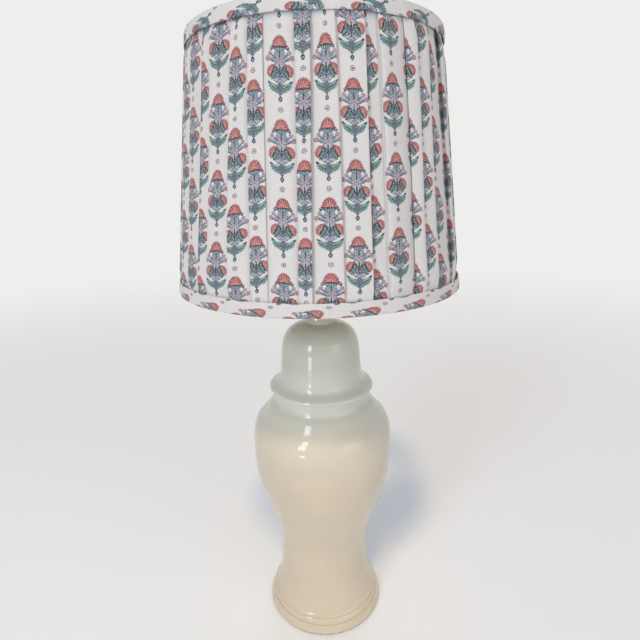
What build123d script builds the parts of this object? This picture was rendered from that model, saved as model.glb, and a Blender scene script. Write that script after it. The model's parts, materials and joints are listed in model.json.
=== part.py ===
"""Ginger jar table lamp with a gathered cloth shade on a harp.

Millimetres, +Z up. The origin is on the table, at the middle of the foot, and
the front of the lamp looks along -Y. Each block makes one piece of the lamp.
"""

from build123d import *
import math
import os

os.makedirs("parts", exist_ok=True)

# ---------------------------------------------------------------- driving sizes
full_turn = 360.0  # degrees

# fits between pieces
seat_gap = 0.2  # a turning piece above the seat that it rests on
running_fit = 0.06  # radial play of a turning or sliding fit
thread_play = 0.05  # radial play of a screwed piece

# felt and glazed jar
felt_thick = 1.6
felt_margin = 2.0  # bare rim of the foot outside the felt
foot_radius = 74.8
foot_band_radius = 70.8  # top of the plain band of the foot
foot_band_height = 11.5
bead_sizes = [(7.3, 69.9, 67.6), (5.2, 67.2, 65.6)]  # height, lower and upper radius
bead_swell = 0.9  # how far a bead stands out of its chord
waist_radius = 55.8
waist_rise = 60.0  # from the beads up to the waist
belly_radius = 84.5
belly_rise = 146.0  # from the waist up to the belly
neck_radius = 56.0
shoulder_rise = 69.0  # from the belly up to the foot of the neck
shoulder_steps = [(0.035, 0.36), (0.21, 0.58), (0.52, 0.725), (0.82, 0.87)]  # shares of fall, rise
neck_length = 10.0
jar_wall = 6.0
floor_rise = 18.0  # from the beads up to the underside of the jar's floor
floor_thick = 6.0
rim_round = 1.2
rod_hole_play = 0.7

# lid
lip_radius = 61.8
lip_edge = 1.8  # height of the widest part of the lip above the jar's rim
lip_thick = 6.6
lid_flare_radius = 56.0  # where the flare runs into the lip
lid_side_radius = 48.0
lid_flare_rise = 20.0  # from the jar's rim to the top of the flare
lid_side_length = 28.0
dome_radius = 45.6
dome_rise = 31.0
lid_wall = 5.0
spigot_depth = 8.0
spigot_play = 0.8
collar_radius = 16.5
collar_height = 6.0

# cord inlet at the back of the foot
inlet_rise = 8.0  # from the beads up to the middle of the hole
grommet_bore = 6.5
grommet_sleeve = 1.4
grommet_lip = 1.6  # thickness of each lip of the rubber
grommet_lip_width = 2.2

# rod that clamps the lamp, and what is screwed to its lower end
rod_radius = 4.85
rod_bore = 6.3
rod_below_nut = 3.0
base_washer_radius = 24.0
base_washer_thick = 2.0
lock_washer_radius = 8.6
lock_washer_thick = 1.0
lock_washer_teeth = 10
nut_flats = 17.5
nut_thick = 4.8

# fittings above the lid
seat_washer_radius = 14.5
seat_washer_thick = 1.5
vase_cap_radius = 17.6
vase_cap_height = 7.5
vase_cap_rim = 2.2
sheet_brass = 0.9  # thickness of the pressed brass pieces
neck_tube_radius = 8.4
neck_tube_waist = 6.7
neck_tube_length = 26.0
check_ring_radius = 12.5
check_ring_thick = 3.2

# harp saddle
saddle_thick = 1.6
saddle_width = 10.0
saddle_boss_radius = 11.0
ear_width = 5.0
ear_shoulder = 6.0  # height of the wide part of an ear

# socket
socket_radius = 17.8  # outside of the shell
socket_height = 66.0
shell_wall = 0.6
cap_height = 23.0
cap_overlap = 4.0
cap_hub_radius = 8.0
cap_hub_height = 5.0
liner_wall = 0.7
core_floor = 12.9  # solid lower part of the insulating core
screw_shell_radius = 13.9
screw_shell_wall = 0.55
screw_shell_depth = 24.5
contact_radius = 4.0
contact_thick = 1.4
terminal_radius = 2.8
terminal_thick = 2.0

# turn switch
switch_height = 26.6  # above the bottom of the socket
switch_shaft_radius = 2.0
switch_reach = 24.0  # from the lamp's axis to the knob
knob_radius = 5.4
knob_length = 13.0
knob_flutes = 12
knob_flute_depth = 0.6

# bulb
bulb_radius = 30.0
bulb_length = 108.0
bulb_cap_length = 26.5
bulb_neck_radius = 14.4
bulb_tip_radius = 4.2
bulb_tip_height = 2.6
bulb_glass_wall = 1.2

# harp
harp_height = 229.0  # saddle to shade seat
harp_wire_radius = 2.0
harp_leg_spread = 29.6  # centre of a leg from the lamp's axis
harp_leg_length = 38.0  # straight part of a leg
harp_half_width = 57.0
ferrule_wall = 1.0
ferrule_length = 15.0
ferrule_travel = 13.0
stud_radius = 3.15
stud_height = 13.0
stud_base_radius = 8.0
stud_base_height = 6.0

# finial
finial_radius = 9.0  # ball
finial_foot_radius = 8.0
finial_foot = 2.5  # height of the foot
finial_cove = 7.0
finial_waist = 4.9
finial_height = 33.0

# shade
shade_bottom_radius = 152.5
shade_top_radius = 123.7
shade_height = 242.3
spider_drop = 13.4  # from the top ring down to the spider's washer
shade_wire_radius = 1.7
liner_thick = 0.9
cover_thick = 0.8  # cloth at the bottom of a fold
fold_depth = 4.4
fold_count = 44
fold_hollow = 2.6  # degrees of the circle that the hollow of a fold takes
fold_wander = 0.2  # unevenness of the folds, as a share of one fold
gather_run = 9.0  # height over which the folds open out beside a trim
trim_thick = 1.2
trim_ease = 2.3  # room under the trims for the flattened folds
trim_bottom_height = 13.2
trim_top_height = 12.5
trim_return = 6.0  # how far the trim turns up inside
arm_count = 3
arm_wire_radius = 1.6
arm_level = 30.0  # level part of a spider arm, from the axis
spider_washer_radius = 13.0
spider_washer_thick = 1.8

# ------------------------------------------------------------ worked-out heights
foot_bottom = felt_thick
bead_top = foot_band_height + sum(height for height, lower, upper in bead_sizes)
waist_height = bead_top + waist_rise
belly_height = waist_height + belly_rise
neck_height = belly_height + shoulder_rise
jar_height = neck_height + neck_length
floor_height = bead_top + floor_rise
inlet_height = bead_top + inlet_rise
rod_hole_radius = rod_radius + rod_hole_play
lid_side_height = jar_height + lid_flare_rise
dome_height = lid_side_height + lid_side_length
dome_top = dome_height + dome_rise
lid_top = dome_top + collar_height
seat_washer_top = lid_top + seat_washer_thick
vase_cap_top = seat_washer_top + vase_cap_height
neck_tube_top = vase_cap_top + neck_tube_length
check_ring_top = neck_tube_top + check_ring_thick
saddle_top = check_ring_top + saddle_thick
socket_bottom = saddle_top
socket_top = socket_bottom + socket_height
cap_top = socket_bottom + cap_height
hub_top = socket_bottom + cap_hub_height + sheet_brass
core_bottom = cap_top - cap_overlap
core_floor_top = core_bottom + core_floor
core_top = core_floor_top + screw_shell_depth
contact_top = core_floor_top + contact_thick
rod_top = socket_bottom + cap_hub_height
rod_bottom = floor_height - base_washer_thick - lock_washer_thick - nut_thick - rod_below_nut
switch_level = socket_bottom + switch_height
bulb_bottom = contact_top + seat_gap
bulb_cap_top = bulb_bottom + bulb_cap_length
bulb_top = bulb_bottom + bulb_length
harp_top = check_ring_top + harp_height
ear_x = harp_leg_spread - harp_wire_radius - running_fit - saddle_thick / 2
ear_base = saddle_top + ear_shoulder
ear_length = ear_shoulder + ferrule_travel  # a raised ferrule just clears the ear
ferrule_bottom = ear_base + seat_gap
washer_bottom = harp_top + seat_gap
top_ring_level = washer_bottom + spider_drop
shade_top = top_ring_level + shade_wire_radius + running_fit + trim_thick
shade_bottom = shade_top - shade_height
bottom_ring_level = shade_bottom + trim_thick + running_fit + shade_wire_radius
washer_top = washer_bottom + spider_washer_thick
finial_bottom = washer_top + seat_gap


def shade_radius(height):
    """Outside of the shade's trims at a height: a straight cone from ring to ring."""
    share = (height - shade_bottom) / (shade_top - shade_bottom)
    return shade_bottom_radius + share * (shade_top_radius - shade_bottom_radius)


# how far each layer of the shade lies inside that cone
fold_valley_inset = trim_thick + trim_ease
liner_inset = fold_valley_inset + cover_thick
liner_inside = liner_inset + liner_thick
ring_inset = liner_inside + running_fit + shade_wire_radius
top_ring_radius = shade_radius(top_ring_level) - ring_inset
bottom_ring_radius = shade_radius(bottom_ring_level) - ring_inset


def save(builder, name):
    """Label a finished piece and write its STEP file."""
    builder.part.label = name
    export_step(builder.part, f"parts/{name}.step")


# ------------------------------------------------------------------ glazed jar
flare_radius = bead_sizes[-1][2]
shoulder_fall = belly_radius - neck_radius


def jar_side(inset):
    """Side of the jar from the beads to the neck, moved in from the glaze."""
    Bezier(
        (flare_radius - inset, bead_top),
        (flare_radius - inset - 0.03 * waist_rise, bead_top + 0.1 * waist_rise),
        (waist_radius - inset, bead_top + 0.34 * waist_rise),
        (waist_radius - inset, waist_height),
    )
    Bezier(
        (waist_radius - inset, waist_height),
        (waist_radius - inset, waist_height + 0.4 * belly_rise),
        (belly_radius - inset, belly_height - 0.425 * belly_rise),
        (belly_radius - inset, belly_height),
    )
    shoulder = [
        (belly_radius - inset - fall * shoulder_fall, belly_height + rise * shoulder_rise)
        for fall, rise in shoulder_steps
    ]
    return Spline(
        (belly_radius - inset, belly_height),
        *shoulder,
        (neck_radius - inset, neck_height),
        tangents=[(0, 1), (0, 1)],
    )


with BuildPart() as jar_body:
    with BuildSketch(Plane.XZ):
        with BuildLine():
            Polyline((0, jar_height), (0, foot_bottom), (foot_radius, foot_bottom))
            Line((foot_radius, foot_bottom), (foot_band_radius, foot_band_height))
            corner = (foot_band_radius, foot_band_height)
            for height, lower, upper in bead_sizes:
                foot = (lower, corner[1])
                head = (upper, corner[1] + height)
                Line(corner, foot)
                SagittaArc(foot, head, -bead_swell)
                corner = head
            jar_side(0)
            Polyline((neck_radius, neck_height), (neck_radius, jar_height), (0, jar_height))
        make_face()
    revolve(axis=Axis.Z)
    with BuildSketch(Plane.XZ):
        with BuildLine():
            Polyline((0, jar_height), (0, foot_bottom), (foot_radius - jar_wall, foot_bottom))
            Line((foot_radius - jar_wall, foot_bottom), (flare_radius - jar_wall, bead_top))
            jar_side(jar_wall)
            Line((neck_radius - jar_wall, neck_height), (neck_radius - jar_wall, jar_height))
            Line((neck_radius - jar_wall, jar_height), (0, jar_height))
        make_face()
    revolve(axis=Axis.Z, mode=Mode.SUBTRACT)
    with BuildSketch(Plane.XY.offset(floor_height)):
        Circle(waist_radius)
        Circle(rod_hole_radius, mode=Mode.SUBTRACT)
    extrude(amount=floor_thick)
    rim = jar_body.faces().filter_by(Plane.XY).sort_by(Axis.Z)[-1]
    fillet(rim.edges(), rim_round)
    sole = jar_body.faces().filter_by(Plane.XY).sort_by(Axis.Z)[0]
    fillet(sole.edges(), rim_round)

# the cord inlet goes straight through the back wall, below the floor
inlet_plane = Plane(origin=(0, 0, inlet_height), x_dir=(1, 0, 0), z_dir=(0, 1, 0))
grommet_hole_radius = grommet_bore / 2 + grommet_sleeve
with jar_body:
    with BuildSketch(inlet_plane):
        Circle(grommet_hole_radius)
    extrude(amount=foot_radius, mode=Mode.SUBTRACT)
save(jar_body, "jar_body")

# ------------------------------------------------------------------------- lid
spigot_radius = neck_radius - jar_wall - spigot_play
with BuildPart() as jar_lid:
    with BuildSketch(Plane.XZ):
        with BuildLine():
            collar = Polyline(
                (rod_hole_radius, lid_top), (collar_radius, lid_top), (collar_radius, dome_top)
            )
            dome = Bezier(
                collar @ 1,
                (0.855 * dome_radius, dome_top - 1.6),
                (dome_radius - 1.2, dome_height + 15.5),
                (dome_radius, dome_height),
            )
            side = Line(dome @ 1, (lid_side_radius, lid_side_height))
            flare = Bezier(
                side @ 1,
                (lid_side_radius + 0.7, lid_side_height - 8.5),
                (lid_flare_radius - 5.4, jar_height + lip_thick + 2.2),
                (lid_flare_radius, jar_height + lip_thick),
            )
            lip = Bezier(
                flare @ 1,
                (lid_flare_radius + 3.4, jar_height + lip_thick - 1.4),
                (lip_radius, jar_height + lip_edge + 2.4),
                (lip_radius, jar_height + lip_edge),
            )
            hem = Bezier(
                lip @ 1,
                (lip_radius, jar_height + 0.5 * lip_edge),
                (lip_radius - 0.5 * lip_edge, jar_height),
                (lip_radius - lip_edge, jar_height),
            )
            seat = Line(hem @ 1, (spigot_radius, jar_height))
            spigot = Polyline(
                seat @ 1,
                (spigot_radius, jar_height - spigot_depth),
                (spigot_radius - lid_wall, jar_height - spigot_depth),
                (dome_radius - lid_wall, dome_height),
            )
            vault = Bezier(
                spigot @ 1,
                (dome_radius - lid_wall - 1, dome_height + 12),
                (0.7 * dome_radius, dome_top - lid_wall - 1.5),
                (collar_radius, dome_top - lid_wall),
            )
            Polyline(vault @ 1, (rod_hole_radius, dome_top - lid_wall), collar @ 0)
        make_face()
    revolve(axis=Axis.Z)
    collar_edges = jar_lid.edges().filter_by(GeomType.CIRCLE).filter_by(
        lambda edge: abs(edge.radius - collar_radius) < 0.01
    )
    fillet(collar_edges.sort_by(Axis.Z)[-1], 1.5)
save(jar_lid, "jar_lid")

# ------------------------------------------------------- felt, grommet, fasteners
with BuildPart() as base_felt:
    with BuildSketch():
        Circle(foot_radius - felt_margin)
    extrude(amount=felt_thick)
save(base_felt, "base_felt")

with BuildPart() as cord_grommet:
    # rubber that fills the wall and laps it inside and out, then the jar is cut away
    with BuildSketch(Plane.XZ):
        with BuildLine():
            outside = Bezier(
                (flare_radius + grommet_lip, bead_top),
                (flare_radius + grommet_lip - 0.03 * waist_rise, bead_top + 0.1 * waist_rise),
                (waist_radius + grommet_lip, bead_top + 0.34 * waist_rise),
                (waist_radius + grommet_lip, waist_height),
            )
            inset = jar_wall + grommet_lip
            inside = Bezier(
                (flare_radius - inset, bead_top),
                (flare_radius - inset - 0.03 * waist_rise, bead_top + 0.1 * waist_rise),
                (waist_radius - inset, bead_top + 0.34 * waist_rise),
                (waist_radius - inset, waist_height),
            )
            Line(outside @ 0, inside @ 0)
            Line(outside @ 1, inside @ 1)
        make_face()
    revolve(axis=Axis.Z)
    with BuildSketch(inlet_plane):
        Circle(grommet_hole_radius + grommet_lip_width)
    extrude(amount=foot_radius, mode=Mode.INTERSECT)
    add(jar_body.part, mode=Mode.SUBTRACT)
    with BuildSketch(inlet_plane):
        Circle(grommet_bore / 2)
    extrude(amount=foot_radius, mode=Mode.SUBTRACT)
save(cord_grommet, "cord_grommet")

with BuildPart() as threaded_rod:
    with BuildSketch(Plane.XY.offset(rod_bottom)):
        Circle(rod_radius)
        Circle(rod_bore / 2, mode=Mode.SUBTRACT)
    extrude(amount=rod_top - rod_bottom)
save(threaded_rod, "threaded_rod")

with BuildPart() as base_washer:
    with BuildSketch(Plane.XY.offset(floor_height - base_washer_thick)):
        Circle(base_washer_radius)
        Circle(rod_radius + thread_play, mode=Mode.SUBTRACT)
    extrude(amount=base_washer_thick)
save(base_washer, "base_washer")

lock_washer_bottom = floor_height - base_washer_thick - lock_washer_thick
with BuildPart() as lock_washer:
    with BuildSketch(Plane.XY.offset(lock_washer_bottom)):
        Circle(lock_washer_radius)
        with PolarLocations(lock_washer_radius, lock_washer_teeth):
            Rectangle(2.6, 1.6, mode=Mode.SUBTRACT)
        Circle(rod_radius + thread_play, mode=Mode.SUBTRACT)
    extrude(amount=lock_washer_thick)
save(lock_washer, "lock_washer")

with BuildPart() as base_nut:
    with BuildSketch(Plane.XY.offset(lock_washer_bottom - nut_thick)):
        RegularPolygon(nut_flats / 2, 6, major_radius=False)
        Circle(rod_radius + thread_play, mode=Mode.SUBTRACT)
    extrude(amount=nut_thick)
    chamfer(base_nut.faces().sort_by(Axis.Z)[0].edges().filter_by(GeomType.LINE), 0.6)
save(base_nut, "base_nut")

# ------------------------------------------------------- fittings above the lid
with BuildPart() as seat_washer:
    with BuildSketch(Plane.XY.offset(lid_top)):
        Circle(seat_washer_radius)
        Circle(rod_radius + thread_play, mode=Mode.SUBTRACT)
    extrude(amount=seat_washer_thick)
save(seat_washer, "seat_washer")

with BuildPart() as vase_cap:
    with BuildSketch(Plane.XZ):
        with BuildLine():
            rim_line = Polyline(
                (vase_cap_radius - sheet_brass, lid_top),
                (vase_cap_radius, lid_top),
                (vase_cap_radius, lid_top + vase_cap_rim),
            )
            crown = Bezier(
                rim_line @ 1,
                (vase_cap_radius, vase_cap_top - 1.5),
                (neck_tube_radius + 2, vase_cap_top - 2.5),
                (neck_tube_radius + 1, vase_cap_top),
            )
            Polyline(
                crown @ 1,
                (rod_radius + thread_play, vase_cap_top),
                (rod_radius + thread_play, seat_washer_top),
                (seat_washer_radius, seat_washer_top),
                (vase_cap_radius - sheet_brass, seat_washer_top),
                rim_line @ 0,
            )
        make_face()
    revolve(axis=Axis.Z)
save(vase_cap, "vase_cap")

with BuildPart() as neck_tube:
    with BuildSketch(Plane.XZ):
        with BuildLine():
            lower = Polyline(
                (rod_radius + thread_play, vase_cap_top),
                (neck_tube_radius, vase_cap_top),
                (neck_tube_radius, vase_cap_top + 2),
            )
            waist = ThreePointArc(
                lower @ 1,
                (neck_tube_waist, vase_cap_top + neck_tube_length / 2),
                (neck_tube_radius, neck_tube_top - 2),
            )
            Polyline(
                waist @ 1,
                (neck_tube_radius, neck_tube_top),
                (rod_radius + thread_play, neck_tube_top),
                lower @ 0,
            )
        make_face()
    revolve(axis=Axis.Z)
save(neck_tube, "neck_tube")

with BuildPart() as check_ring:
    with BuildSketch(Plane.XY.offset(neck_tube_top)):
        Circle(check_ring_radius)
        Circle(rod_radius + thread_play, mode=Mode.SUBTRACT)
    extrude(amount=check_ring_thick)
    outer_edges = check_ring.edges().filter_by(GeomType.CIRCLE).sort_by(SortBy.RADIUS)[-2:]
    fillet(outer_edges, 1.2)
save(check_ring, "check_ring")

# ----------------------------------------------------------------- harp saddle
ear_outside = ear_x + saddle_thick / 2
with BuildPart() as harp_saddle:
    with BuildSketch(Plane.XY.offset(check_ring_top)):
        Rectangle(2 * ear_outside, saddle_width)
        Circle(saddle_boss_radius)
        Circle(rod_radius + thread_play, mode=Mode.SUBTRACT)
    extrude(amount=saddle_thick)
    for side_x in (-ear_x, ear_x):
        with BuildSketch(Plane.YZ.offset(side_x)):
            with Locations((0, check_ring_top + saddle_thick + ear_shoulder / 2)):
                Rectangle(saddle_width, ear_shoulder + 0.01)
            with Locations((0, saddle_top + ear_length / 2)):
                Rectangle(ear_width, ear_length)
        extrude(amount=saddle_thick / 2, both=True)
    ear_corners = harp_saddle.edges().filter_by(Axis.Y).group_by(Axis.Z)[0]
    fillet(ear_corners.filter_by(lambda edge: abs(edge.center().X) > saddle_boss_radius), 1.5)
save(harp_saddle, "harp_saddle")

# ---------------------------------------------------------------------- socket
shell_inside = socket_radius - shell_wall
liner_inside_radius = shell_inside - thread_play - liner_wall
cap_radius = socket_radius + thread_play + sheet_brass
shell_bottom = cap_top - cap_overlap
with BuildPart() as socket_cap:
    with BuildSketch(Plane.XZ):
        with BuildLine():
            hub = Polyline(
                (rod_radius + thread_play, hub_top),
                (rod_radius + thread_play, socket_bottom),
                (cap_hub_radius, socket_bottom),
                (cap_hub_radius, socket_bottom + 2),
            )
            bowl = Bezier(
                hub @ 1,
                (cap_hub_radius + 4, socket_bottom + 4),
                (cap_radius, socket_bottom + 4),
                (cap_radius, cap_top - cap_overlap - 4),
            )
            mouth = Polyline(
                bowl @ 1,
                (cap_radius, cap_top),
                (cap_radius - sheet_brass, cap_top),
                (cap_radius - sheet_brass, shell_bottom),
                (cap_radius - sheet_brass, shell_bottom - 3),
            )
            inner_bowl = Bezier(
                mouth @ 1,
                (cap_radius - sheet_brass, hub_top + 1),
                (cap_hub_radius + 5, hub_top),
                (cap_hub_radius + 3, hub_top),
            )
            Line(inner_bowl @ 1, hub @ 0)
        make_face()
    revolve(axis=Axis.Z)
save(socket_cap, "socket_cap")

# the switch shaft leaves through the front of the shell, liner and core
switch_plane = Plane(origin=(0, 0, switch_level), x_dir=(1, 0, 0), z_dir=(0, -1, 0))
shaft_hole_radius = switch_shaft_radius + 0.6

with BuildPart() as socket_shell:
    with BuildSketch(Plane.XZ):
        with BuildLine():
            tube = Polyline(
                (shell_inside, socket_top - shell_wall),
                (shell_inside, shell_bottom),
                (socket_radius, shell_bottom),
                (socket_radius, socket_top - 2 * shell_wall),
            )
            roll_middle = (socket_radius + 0.4, socket_top - 0.5 * shell_wall)
            roll = ThreePointArc(tube @ 1, roll_middle, (shell_inside, socket_top))
            Line(roll @ 1, tube @ 0)
        make_face()
    revolve(axis=Axis.Z)
    with BuildSketch(switch_plane):
        Circle(shaft_hole_radius)
    extrude(amount=2 * socket_radius, mode=Mode.SUBTRACT)
save(socket_shell, "socket_shell")

with BuildPart() as socket_liner:
    with BuildSketch(Plane.XY.offset(shell_bottom)):
        Circle(liner_inside_radius + liner_wall)
        Circle(liner_inside_radius, mode=Mode.SUBTRACT)
    extrude(amount=core_top - shell_bottom)
    with BuildSketch(switch_plane):
        Circle(shaft_hole_radius)
    extrude(amount=2 * socket_radius, mode=Mode.SUBTRACT)
save(socket_liner, "socket_liner")

with BuildPart() as screw_shell:
    with BuildSketch(Plane.XY.offset(core_floor_top)):
        Circle(screw_shell_radius)
        Circle(screw_shell_radius - screw_shell_wall, mode=Mode.SUBTRACT)
    extrude(amount=screw_shell_depth)
save(screw_shell, "screw_shell")

with BuildPart() as centre_contact:
    with BuildSketch(Plane.XY.offset(core_floor_top)):
        Circle(contact_radius)
    extrude(amount=contact_thick)
    fillet(centre_contact.faces().sort_by(Axis.Z)[-1].edges(), 0.6)
save(centre_contact, "centre_contact")

core_radius = liner_inside_radius - thread_play
terminal_face = core_radius - terminal_thick
terminal_level = core_bottom + terminal_radius + 1
with BuildPart() as socket_core:
    with BuildSketch(Plane.XY.offset(core_bottom)):
        Circle(core_radius)
    extrude(amount=core_top - core_bottom)
    with BuildSketch(Plane.XY.offset(core_floor_top)):
        Circle(screw_shell_radius)
    extrude(amount=screw_shell_depth, mode=Mode.SUBTRACT)
    for side_x in (-1, 1):
        with BuildSketch(Plane.XY.offset(core_bottom)):
            with Locations((side_x * (terminal_face + terminal_thick), 0)):
                Rectangle(2 * terminal_thick, 2 * core_radius)
        extrude(amount=2 * terminal_radius + 2, mode=Mode.SUBTRACT)
    with BuildSketch(switch_plane):
        Circle(switch_shaft_radius + running_fit)
    extrude(amount=2 * core_radius, mode=Mode.SUBTRACT)
save(socket_core, "socket_core")

with BuildPart() as terminal_screws:
    for side_x in (-1, 1):
        head_plane = Plane(
            origin=(side_x * terminal_face, 0, terminal_level), z_dir=(side_x, 0, 0)
        )
        with BuildSketch(head_plane):
            Circle(terminal_radius)
        extrude(amount=terminal_thick - 0.3)
save(terminal_screws, "terminal_screws")

# ----------------------------------------------------------------- turn switch
with BuildPart() as switch_shaft:
    with BuildSketch(switch_plane):
        Circle(switch_shaft_radius)
    extrude(amount=switch_reach + knob_length / 2)
save(switch_shaft, "switch_shaft")

knob_plane = switch_plane.offset(switch_reach)
with BuildPart() as switch_knob:
    with BuildSketch(knob_plane):
        Circle(knob_radius)
        with PolarLocations(knob_radius, knob_flutes):
            Circle(knob_flute_depth, mode=Mode.SUBTRACT)
    extrude(amount=knob_length, taper=2)
    fillet(switch_knob.faces().sort_by(Axis.Y)[0].edges(), 0.3)
    with BuildSketch(knob_plane):
        Circle(switch_shaft_radius)
    extrude(amount=knob_length / 2, mode=Mode.SUBTRACT)
save(switch_knob, "switch_knob")

# ------------------------------------------------------------------------ bulb
bulb_cap_radius = screw_shell_radius - screw_shell_wall - running_fit
bulb_middle = bulb_top - bulb_radius
bulb_glass_bottom = bulb_cap_top + 0.5
with BuildPart() as bulb_cap:
    with BuildSketch(Plane.XZ):
        with BuildLine():
            Polyline(
                (0, bulb_bottom + bulb_tip_height),
                (bulb_tip_radius + 1.5, bulb_bottom + bulb_tip_height),
                (bulb_cap_radius, bulb_bottom + 2 * bulb_tip_height),
                (bulb_cap_radius, bulb_cap_top),
                (0, bulb_cap_top),
                close=True,
            )
        make_face()
    revolve(axis=Axis.Z)
save(bulb_cap, "bulb_cap")

with BuildPart() as bulb_contact:
    with BuildSketch(Plane.XY.offset(bulb_bottom)):
        Circle(bulb_tip_radius)
    extrude(amount=bulb_tip_height)
    fillet(bulb_contact.faces().sort_by(Axis.Z)[0].edges(), 1.2)
save(bulb_contact, "bulb_contact")


def bulb_side(inset):
    """Half outline of the glass, from its foot over the round head to the axis."""
    throat = Bezier(
        (bulb_neck_radius - inset, bulb_glass_bottom),
        (bulb_neck_radius - inset, bulb_glass_bottom + 16),
        (bulb_radius - inset, bulb_middle - 20),
        (bulb_radius - inset, bulb_middle),
    )
    reach = bulb_radius - inset
    shoulder = (reach * math.cos(math.pi / 4), bulb_middle + reach * math.sin(math.pi / 4))
    head = ThreePointArc(throat @ 1, shoulder, (0, bulb_middle + reach))
    return throat, head


with BuildPart() as bulb_glass:
    with BuildSketch(Plane.XZ):
        with BuildLine():
            outer_throat, outer_head = bulb_side(0)
            inner_throat, inner_head = bulb_side(bulb_glass_wall)
            Line(outer_throat @ 0, inner_throat @ 0)
            Line(outer_head @ 1, inner_head @ 1)
        make_face()
    revolve(axis=Axis.Z)
    with BuildSketch(Plane.XY.offset(bulb_cap_top)):
        Circle(bulb_neck_radius)
    extrude(amount=bulb_glass_bottom - bulb_cap_top)
save(bulb_glass, "bulb_glass")

# ------------------------------------------------------------------------ harp
leg_bottom = saddle_top + seat_gap
wire_top = harp_top - stud_base_height / 2
harp_rise = wire_top - leg_bottom
half_path = [
    (harp_leg_spread, leg_bottom),
    (harp_leg_spread, leg_bottom + harp_leg_length),
    (harp_half_width, leg_bottom + 0.42 * harp_rise),
    (harp_half_width - 1, leg_bottom + 0.76 * harp_rise),
    (0.62 * harp_half_width, wire_top),
]
with BuildPart() as harp:
    with BuildLine(Plane.XZ) as harp_line:
        right_side = half_path
        left_side = [(-x, z) for x, z in reversed(half_path)]
        FilletPolyline(right_side + left_side, radius=[26, 60, 46, 22, 22, 46, 60, 26])
    with BuildSketch(Plane.XY.offset(leg_bottom)):
        with Locations((harp_leg_spread, 0)):
            Circle(harp_wire_radius)
    sweep(path=harp_line.line)
save(harp, "harp")

with BuildPart() as harp_stud:
    with BuildSketch(Plane.XY.offset(harp_top - stud_base_height)):
        Circle(stud_base_radius)
    extrude(amount=stud_base_height)
    fillet(harp_stud.edges().filter_by(GeomType.CIRCLE), 0.8)
    with BuildSketch(Plane.XY.offset(harp_top)):
        Circle(stud_radius)
    extrude(amount=stud_height)
    chamfer(harp_stud.faces().sort_by(Axis.Z)[-1].edges(), 0.6)
    add(harp.part, mode=Mode.SUBTRACT)
save(harp_stud, "harp_stud")

# a sleeve round each leg and ear holds them together, and slides up to free the harp
ferrule_half = (harp_leg_spread + harp_wire_radius - ear_x + saddle_thick / 2) / 2
ferrule_bore = math.hypot(ferrule_half, ear_width / 2) + running_fit
for side_x, name in ((-1, "ferrule_left"), (1, "ferrule_right")):
    with BuildPart() as ferrule:
        with BuildSketch(Plane.XY.offset(ferrule_bottom)):
            with Locations((side_x * (ear_x - saddle_thick / 2 + ferrule_half), 0)):
                Circle(ferrule_bore + ferrule_wall)
                Circle(ferrule_bore, mode=Mode.SUBTRACT)
        extrude(amount=ferrule_length)
        outer_edges = ferrule.edges().filter_by(GeomType.CIRCLE).sort_by(SortBy.RADIUS)[-2:]
        chamfer(outer_edges, 0.5)
    save(ferrule, name)

# ---------------------------------------------------------------------- finial
ball_foot = math.radians(-55)
ball_head = math.radians(65)
ball_middle = finial_bottom + finial_foot + finial_cove - finial_radius * math.sin(ball_foot)
with BuildPart() as finial:
    with BuildSketch(Plane.XZ):
        with BuildLine():
            foot_line = Polyline(
                (0, finial_bottom),
                (finial_foot_radius, finial_bottom),
                (finial_foot_radius, finial_bottom + finial_foot),
            )
            ball = ThreePointArc(
                (finial_radius * math.cos(ball_foot), ball_middle + finial_radius * math.sin(ball_foot)),
                (finial_radius, ball_middle),
                (finial_radius * math.cos(ball_head), ball_middle + finial_radius * math.sin(ball_head)),
            )
            cove_middle = (finial_waist, finial_bottom + finial_foot + 0.55 * finial_cove)
            ThreePointArc(foot_line @ 1, cove_middle, ball @ 0)
            tip = Bezier(
                ball @ 1,
                (0.5 * finial_radius, finial_bottom + 0.88 * finial_height),
                (0.35 * finial_radius, finial_bottom + finial_height),
                (0, finial_bottom + finial_height),
            )
            Line(tip @ 1, foot_line @ 0)
        make_face()
    revolve(axis=Axis.Z)
    with BuildSketch(Plane.XY.offset(finial_bottom)):
        Circle(stud_radius + running_fit)
    extrude(amount=harp_top + stud_height + 1 - finial_bottom, mode=Mode.SUBTRACT)
save(finial, "finial")

# ------------------------------------------------------------ frame of the shade
with BuildPart() as top_ring:
    with BuildSketch(Plane.XZ):
        with Locations((top_ring_radius, top_ring_level)):
            Circle(shade_wire_radius)
    revolve(axis=Axis.Z)
save(top_ring, "top_ring")

with BuildPart() as bottom_ring:
    with BuildSketch(Plane.XZ):
        with Locations((bottom_ring_radius, bottom_ring_level)):
            Circle(shade_wire_radius)
    revolve(axis=Axis.Z)
save(bottom_ring, "bottom_ring")

arm_start = stud_base_radius + arm_wire_radius
with BuildPart() as spider:
    with BuildSketch(Plane.XY.offset(washer_bottom)):
        Circle(spider_washer_radius)
        Circle(stud_radius + running_fit, mode=Mode.SUBTRACT)
    extrude(amount=spider_washer_thick)
    for arm in range(arm_count):
        turn = full_turn / 4 + full_turn / arm_count * arm
        arm_plane = Plane.XZ.rotated((0, 0, turn))
        arm_floor = washer_top + arm_wire_radius - 0.3
        with BuildLine(arm_plane) as arm_line:
            FilletPolyline(
                (arm_start, arm_floor),
                (arm_level, arm_floor),
                (top_ring_radius, top_ring_level),
                radius=arm_level,
            )
        with BuildSketch(Plane(origin=arm_line.line @ 0, z_dir=arm_line.line % 0)):
            Circle(arm_wire_radius)
        sweep(path=arm_line.line)
    add(top_ring.part, mode=Mode.SUBTRACT)
save(spider, "spider")


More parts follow.
